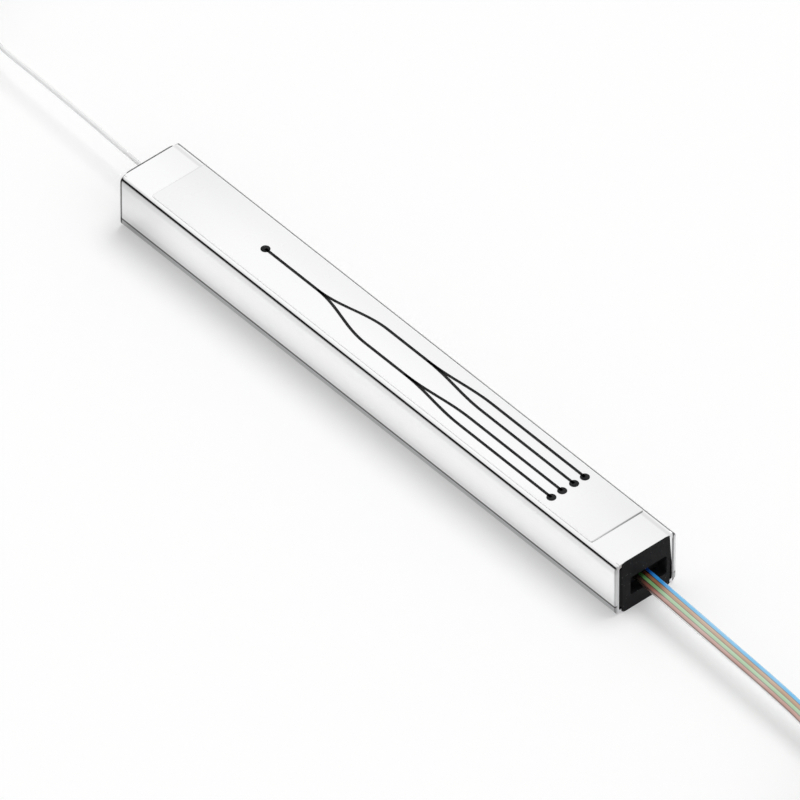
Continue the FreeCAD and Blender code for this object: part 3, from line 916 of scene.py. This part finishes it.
def make_label_film():
    """White film, cloudy in its gloss, with painted shade: grey lines at its cut ends and soft shades."""
    material, tree, shader = new_material("label_film", FILM_COLOUR, 0.3)
    x, y = in_millimetres(tree)[:2]
    label_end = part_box("label")[1].x / MM
    fading = ramp(tree, y, *EDGE_FADE)
    dust = place_group(tree, specks, Spacing=1.3, Speck_size=0.035, Share=0.25)
    # Painted shade: grey lines at the cut ends, darker to the far side and the ends; the specks are dust.
    marks = [(times(tree, line_at(tree, x, label_end, *FRONT_EDGE), fading), 0.62),
             (times(tree, line_at(tree, x, -label_end, *BACK_EDGE), fading), 0.14),
             (ramp(tree, y, *ACROSS_SHADE), 0.06),
             (dust, 0.12),
             (ramp(tree, calc(tree, "ABSOLUTE", x), *END_SHADE), 0.055)]
    film = blend_colours(tree, darken(tree, marks), BLACK, FILM_COLOUR)
    tree.links.new(film, shader.inputs["Base Color"])
    gloss = place_group(tree, cloudiness, Patch_size=2.5, Low=0.24, High=0.36)
    tree.links.new(gloss, shader.inputs["Roughness"])
    return material


label_film = make_label_film()
dress(label_film, "label")
print("film on the label")

# %% [markdown]
# ## Printing ink
# Thermal ink is a soft satin black.  A little cloudiness keeps it from looking like a hole in the label.

# %% Ink
def make_ink():
    """Satin black ink."""
    material, tree, shader = new_material("printed_ink", (0.012, 0.012, 0.013), 0.55, specular=0.1)
    patch = place_group(tree, cloudiness, Patch_size=0.3)
    colour = blend_colours(tree, patch, (0.008, 0.008, 0.009), (0.022, 0.022, 0.023))
    tree.links.new(colour, shader.inputs["Base Color"])
    return material


label_diagram.data.materials.append(make_ink())
print("ink on the diagram")

# %% [markdown]
# ## Black rubber and sealant
# The ends are closed by moulded rubber plugs, matte and faintly uneven, with a few pale specks of dust.
# At the back their top edge is painted a paler grey.  Behind each plug a drop of sealant holds the
# fibres, a little glossier because it cured in place.

# %% Rubber and sealant
DUST_COLOUR = (0.09, 0.09, 0.09)
PALE_EDGE_COLOUR = (0.20, 0.20, 0.20)
PALE_EDGE_HEIGHT = (3.56, 3.57)
PALE_EDGE_END = (-20.0, -19.9)


def make_black(name, low, high, roughness_low, roughness_high, patch, relief, share):
    """A black soft plastic: cloudy colour and gloss, fine relief and a few specks."""
    material, tree, shader = new_material(name, low, roughness_low, specular=0.12)
    cloud = place_group(tree, cloudiness, Patch_size=patch)
    body = blend_colours(tree, cloud, low, high)
    dust = place_group(tree, specks, Spacing=0.20, Speck_size=0.20, Share=share)
    dusty = blend_colours(tree, dust, body, DUST_COLOUR)
    x, _, z = in_millimetres(tree)
    # The top edge at the back end is painted a paler grey.
    pale_edge = times(tree, ramp(tree, z, *PALE_EDGE_HEIGHT), fall(tree, x, *PALE_EDGE_END))
    tree.links.new(blend_colours(tree, pale_edge, dusty, PALE_EDGE_COLOUR), shader.inputs["Base Color"])
    tree.links.new(ramp(tree, cloud, 0.0, 1.0, roughness_low, roughness_high), shader.inputs["Roughness"])
    grain = place_group(tree, cloudiness, Patch_size=patch / 5)
    add_bump(tree, shader, grain, relief)
    return material


black_rubber = make_black("black_rubber", (0.006, 0.006, 0.007), (0.014, 0.014, 0.015), 0.62, 0.8, 0.5,
                          0.004, 0.22)
black_sealant = make_black("black_sealant", (0.004, 0.004, 0.005), (0.009, 0.009, 0.009), 0.4, 0.6, 0.3,
                           0.006, 0.05)
dress(black_rubber, "input_end_plug", "output_end_plug")
dress(black_sealant, "input_exit_seal", "output_exit_seal")
print("rubber on the plugs, sealant on the seals")

# %% [markdown]
# ## Glass, glue and gel inside
# The chip, its lids and the grooved blocks are clear glass, held by an amber glue and bedded in soft gel.
# They are hidden once the tube is closed, and each still has its true finish for anyone who opens it.

# %% Inside materials
def make_clear(name, colour, roughness, ior, transmission, patch):
    """A clear or milky solid whose gloss changes softly over its surface."""
    material, tree, shader = new_material(name, colour, roughness, IOR=ior, Transmission_Weight=transmission)
    gloss = place_group(tree, cloudiness, Patch_size=patch, Low=roughness * 0.7, High=roughness * 1.4)
    tree.links.new(gloss, shader.inputs["Roughness"])
    return material


dress(make_clear("chip_glass", (0.72, 0.80, 0.88), 0.03, 1.46, 0.9, 2.0), "splitter_chip")
dress(make_clear("lid_glass", (0.85, 0.91, 0.90), 0.12, 1.47, 0.9, 1.0), "chip_input_lid", "chip_output_lid",
      "input_array_base", "input_array_lid", "output_array_base", "output_array_lid")
dress(make_clear("amber_glue", (0.83, 0.60, 0.26), 0.18, 1.50, 0.7, 0.6), "input_array_glue",
      "output_array_glue")
dress(make_clear("clear_gel", (0.86, 0.87, 0.87), 0.30, 1.41, 0.6, 0.8), "input_gel_pad", "output_gel_pad")
dress(make_clear("bare_glass", (0.92, 0.95, 0.97), 0.02, 1.46, 0.95, 1.0), "input_glass_fibre",
      *["output_glass_fibre_%d" % number for number in range(1, OUTPUT_FIBRES + 1)])
print("finishes inside: chip, lids, glue, gel and bare glass")

# %% [markdown]
# ## Clear coat of the input fibre
# The glass is coated in clear acrylate, so the fibre looks like a thread of milky glass.  It lets a
# share of the light through, so its shadow is paler than a solid thread's.

# %% Clear coat
FIBRE_LIGHT_SHARE = 0.4


def rays(tree, *kinds):
    """1 for rays of the given kinds, 0 for all others."""
    path = tree.nodes.new("ShaderNodeLightPath").outputs
    mask = path[kinds[0]]
    for kind in kinds[1:]:
        mask = calc(tree, "MAXIMUM", mask, path[kind])
    return mask


def let_light_through(tree, shader, share):
    """Glass and clear coats pass a share of the light, so their shadow on the table is paler."""
    carried = rays(tree, "Is Shadow Ray", "Is Diffuse Ray")
    solid = calc(tree, "SUBTRACT", 1.0, times(tree, carried, share))
    tree.links.new(solid, shader.inputs["Alpha"])


def make_clear_coat():
    """Milky clear plastic over glass."""
    material, tree, shader = new_material("clear_coat_fibre", (0.92, 0.92, 0.92), 0.25, IOR=1.50,
                                          Transmission_Weight=0.25)
    tint = place_group(tree, cloudiness, Patch_size=6.0)
    tinted = blend_colours(tree, tint, (0.90, 0.90, 0.905), (0.94, 0.94, 0.94))
    tree.links.new(tinted, shader.inputs["Base Color"])
    let_light_through(tree, shader, FIBRE_LIGHT_SHARE)
    return material


clear_coat = make_clear_coat()
input_fibre.data.materials.append(clear_coat)
dress(clear_coat, "input_fibre_inside")
print("clear coat on the input fibre")

# %% [markdown]
# ## Coloured fibres of the ribbon
# Each fibre has its own colour, in the order that every technician knows: blue, orange, green, brown.
# The clear skin over them dips between two fibres, and painted shade darkens each dip.  The skin shows
# pale along the brown edge.  The number stored on each vertex picks the colour, and how near it is to a
# whole number tells where a dip is.  Near the plug painted shade deepens the colours, and a painted dark
# shadow lies over the start of the brown fibre.

# %% Ribbon colours
FIBRE_COLOURS = {"brown": (0.51, 0.295, 0.245), "green": (0.42, 0.61, 0.385),
                 "orange": (0.53, 0.34, 0.22), "blue": (0.17, 0.54, 0.86)}


def colour_by_fibre(tree, across):
    """Steps of colour, one for each fibre."""
    steps = tree.nodes.new("ShaderNodeValToRGB")
    steps.color_ramp.interpolation = "CONSTANT"
    half = RIBBON_WIDTH / FIBRE_PITCH / 2
    marks = steps.color_ramp.elements
    while len(marks) < OUTPUT_FIBRES:
        marks.new(1.0)
    for number, colour in enumerate(FIBRE_COLOURS.values()):
        edge = number - OUTPUT_FIBRES / 2
        marks[number].position = 0.0 if number == 0 else (edge + half) / (2 * half)
        marks[number].color = (*colour, 1.0)
    tree.links.new(calc(tree, "DIVIDE", calc(tree, "ADD", across, half), 2 * half), steps.inputs[0])
    return steps.outputs[0]


def stored_across(tree):
    """How far across the ribbon a point lies, read from the number on its vertices."""
    reader = tree.nodes.new("ShaderNodeAttribute")
    reader.attribute_name = "across"
    return reader.outputs["Fac"]


def sideways_across(tree):
    """The same for the short straight ribbon inside the tube, where across is simply Y."""
    return calc(tree, "DIVIDE", object_place(tree)[1][1], FIBRE_PITCH * MM)


print("ribbon colours:", ", ".join(FIBRE_COLOURS))

# %% Ribbon material
SHADE_COLOUR = (0.95, 0.95, 0.92)
DIP_SHADE_COLOUR = (0.10, 0.09, 0.09)
DIP_REACH = (0.03, 0.16)
DIP_SHADE_SHARE = 0.65
SKIN_COLOUR = (0.96, 0.95, 0.94)
SKIN_EDGE = (-2.05, -2.00)
EXIT_SHADE = (20.7, 22.3)
DEEP_EXIT_SHADE = (19.7, 20.7)
EXIT_SHADOW_COLOUR = (0.02, 0.02, 0.015)
EXIT_SHADOW_EDGE = (-1.1, -0.9)
EXIT_SHADOW_ALONG = (19.9, 21.4)
EXIT_SHADOW_SHARE = 0.85
RIBBON_LIGHT_SHARE = 0.56


def deepen(tree, mask, colour):
    """Multiplies a colour by itself where the mask is 1, which makes it darker and richer."""
    return blend_colours(tree, mask, colour, colour, "MULTIPLY")


def make_ribbon_material(name, read_across):
    """Fibre colours, painted shade in the dips, a pale clear edge and painted shade at the start."""
    material, tree, shader = new_material(name, FIBRE_COLOURS["green"], 0.22, Coat_Weight=0.8,
                                          Coat_Roughness=0.12)
    across = read_across(tree)
    along = in_millimetres(tree)[0]
    shade = place_group(tree, cloudiness, Patch_size=3.0, Low=0.0, High=0.14)
    varied = blend_colours(tree, shade, colour_by_fibre(tree, across), SHADE_COLOUR)
    # Painted shade darkens the dips between fibres.
    dip = ramp(tree, calc(tree, "PINGPONG", across, 0.5), *DIP_REACH, DIP_SHADE_SHARE, 0.0)
    dipped = blend_colours(tree, dip, varied, DIP_SHADE_COLOUR)
    clear_edge = times(tree, fall(tree, across, *SKIN_EDGE), ramp(tree, along, *EXIT_SHADE))
    skinned = blend_colours(tree, clear_edge, dipped, SKIN_COLOUR)
    # Painted shade near the plug: the colours are deepened there, and twice over nearest the plug.
    exit_shaded = deepen(tree, fall(tree, along, *EXIT_SHADE), skinned)
    deep_shaded = deepen(tree, fall(tree, along, *DEEP_EXIT_SHADE), exit_shaded)
    # A painted dark shadow over the start of the brown fibre.
    exit_shadow = times(tree, fall(tree, across, *EXIT_SHADOW_EDGE), ramp(tree, along, *EXIT_SHADOW_ALONG, EXIT_SHADOW_SHARE, 0.0))
    tree.links.new(blend_colours(tree, exit_shadow, deep_shaded, EXIT_SHADOW_COLOUR), shader.inputs["Base Color"])
    let_light_through(tree, shader, RIBBON_LIGHT_SHARE)
    return material


output_ribbon.data.materials.append(make_ribbon_material("fibre_ribbon", stored_across))
dress(make_ribbon_material("fibre_ribbon_inside", sideways_across), "ribbon_inside")
# The painted shade near the plug reaches this far from the middle.
print("ribbon shaded as far as", EXIT_SHADE[1], "mm from the middle")

# %% [markdown]
# ## Tape ties
# A narrow band of white tape holds each bundle.  Tape has a dull skin with faint creases across it.
# Painted shade darkens the creases where their relief sinks.

# %% Tape
def make_tape():
    """Dull white tape with faint creases, painted darker where they sink."""
    material, tree, shader = new_material("tie_tape", (0.80, 0.80, 0.78), 0.6)
    crease = place_group(tree, streaks, Streak_length=0.12, Streak_width=0.9)
    # Painted shade: the mask that raises the creases also lightens the tape, so their low parts are darker.
    tape = blend_colours(tree, crease, (0.74, 0.74, 0.72), (0.84, 0.84, 0.82))
    tree.links.new(tape, shader.inputs["Base Color"])
    add_bump(tree, shader, crease, 0.01)
    return material


dress(make_tape(), "fibre_tie", "ribbon_tie")
print("tape on both ties")

# %% [markdown]
# ## A white table
# The part lies on a plain pale table.  To let it run out to white without burning the part, the table's
# own diffuse colour takes the shadows, and a little glow is added that only the camera and reflections
# see.  In a mirror the table is white near the part and greys with the distance, which gives the
# polished side wall its slow shade.

# %% Table
TABLE_HALF = 2.0
TABLE_DROP = 0.01
TABLE_COLOUR = (0.80, 0.80, 0.80)
TABLE_GLOW = 0.20
MIRRORED_NEAR = (0.92, 0.92, 0.92)
MIRRORED_FAR = (0.80, 0.80, 0.80)
NEAR_TABLE = 6.0
FAR_TABLE = 30.0


def table_colours(tree):
    """The table's colour for the eye, and in a mirror, where it greys with the distance."""
    away = calc(tree, "ABSOLUTE", in_millimetres(tree)[1])
    far = ramp(tree, away, NEAR_TABLE, FAR_TABLE)
    mirrored = blend_colours(tree, far, MIRRORED_NEAR, MIRRORED_FAR)
    glossy = rays(tree, "Is Glossy Ray")
    glow_left = calc(tree, "SUBTRACT", 1.0, times(tree, far, glossy))
    return blend_colours(tree, glossy, TABLE_COLOUR, mirrored), glow_left


def add_table():
    """A big plain table top just under the part."""
    corners = [(x * TABLE_HALF, y * TABLE_HALF, -TABLE_DROP * MM)
               for x, y in ((-1, -1), (1, -1), (1, 1), (-1, 1))]
    table = add_mesh("table_top", corners, [(0, 1, 2, 3)])
    material, tree, shader = new_material("table_white", TABLE_COLOUR, 0.9, specular=0.0)
    colour, glow_left = table_colours(tree)
    tree.links.new(colour, shader.inputs["Base Color"])
    feed(tree, shader.inputs["Emission Color"], WHITE)
    seen = rays(tree, "Is Camera Ray", "Is Glossy Ray", "Is Transmission Ray")
    glow = times(tree, seen, times(tree, glow_left, TABLE_GLOW))
    tree.links.new(glow, shader.inputs["Emission Strength"])
    table.data.materials.append(material)
    return table


table = add_table()
print("table:", table.name)

# %% [markdown]
# ## The light tent
# Polished metal shows the room, so the room is drawn with care.  The world is a white tent all round.
# A black card low on the near side draws the crisp dark line along the tube's rounded edge, and a thin
# dark seam where tent and table meet gives every other rounding a fine dark line.  Only mirrors see
# these two.  Without them a mirror in a white room would vanish.

# %% World
TENT_LEVEL = 0.63
TENT_MIRROR_LEVEL = 1.02
FLAG_LOW = 0.0
FLAG_HIGH = 0.46
FLAG_SIDE = (-0.60, -0.80)
FLAG_SPAN = 0.965
FLAG_SPAN_SOFT = 0.015
FLAG_SOFT = 0.03
FLAG_DARKNESS = 0.03
SEAM_LOW = -0.02
SEAM_HIGH = 0.19
SEAM_SOFT = 0.02


def between(tree, value, low, high, soft):
    """1 where the value lies between low and high, with soft edges."""
    rising = ramp(tree, value, low - soft, low + soft)
    return times(tree, rising, fall(tree, value, high - soft, high + soft))


def build_tent():
    """White all round, with one black card and a dark seam at table height."""
    world = bpy.data.worlds.new("light_tent")
    bpy.context.scene.world = world
    world.use_nodes = True
    tree = world.node_tree
    background = tree.nodes["Background"]
    x, y, z = object_place(tree, "Generated")[1]
    level = calc(tree, "SQRT", calc(tree, "ADD", times(tree, x, x), times(tree, y, y)))
    side = calc(tree, "ADD", times(tree, x, FLAG_SIDE[0]), times(tree, y, FLAG_SIDE[1]))
    facing = ramp(tree, calc(tree, "DIVIDE", side, level), FLAG_SPAN - FLAG_SPAN_SOFT,
                  FLAG_SPAN + FLAG_SPAN_SOFT)
    card = times(tree, facing, between(tree, z, FLAG_LOW, FLAG_HIGH, FLAG_SOFT))
    seam = between(tree, z, SEAM_LOW, SEAM_HIGH, SEAM_SOFT)
    dark = calc(tree, "MAXIMUM", card, seam)
    mirrored = ramp(tree, dark, 0.0, 1.0, TENT_MIRROR_LEVEL, FLAG_DARKNESS)
    extra = times(tree, rays(tree, "Is Glossy Ray"), calc(tree, "SUBTRACT", mirrored, TENT_LEVEL))
    lit = calc(tree, "ADD", extra, TENT_LEVEL)
    seen = calc(tree, "MAXIMUM", lit, rays(tree, "Is Camera Ray"))
    tree.links.new(seen, background.inputs["Strength"])
    feed(tree, background.inputs["Color"], WHITE)
    return world


build_tent()
print("tent level", TENT_LEVEL)

# %% [markdown]
# ## One soft lamp
# A single broad lamp stands high behind the tube, so the shadow falls softly towards the viewer.  A sun
# lamp with a wide angle does this at any scale.  It is hidden from reflections, because the tent
# already shows there.

# %% Lamp
LAMP_RISE = math.radians(68)
LAMP_TURN = math.radians(90)
LAMP_ANGLE = math.radians(34)
LAMP_SHARE = 0.36


def add_lamp():
    """A broad soft sun from behind the tube, that adds its share of the light on the table."""
    data = bpy.data.lights.new("soft_lamp", "SUN")
    data.energy = math.pi * LAMP_SHARE / math.sin(LAMP_RISE)
    data.angle = LAMP_ANGLE
    lamp = add_object("soft_lamp", data)
    source = Vector((math.cos(LAMP_TURN) * math.cos(LAMP_RISE), math.sin(LAMP_TURN) * math.cos(LAMP_RISE),
                     math.sin(LAMP_RISE)))
    lamp.rotation_euler = source.to_track_quat("Z", "Y").to_euler()
    lamp.visible_glossy = False
    return lamp


lamp = add_lamp()
bpy.context.scene.view_settings.view_transform = "Standard"
print("lamp energy %.2f" % lamp.data.energy)
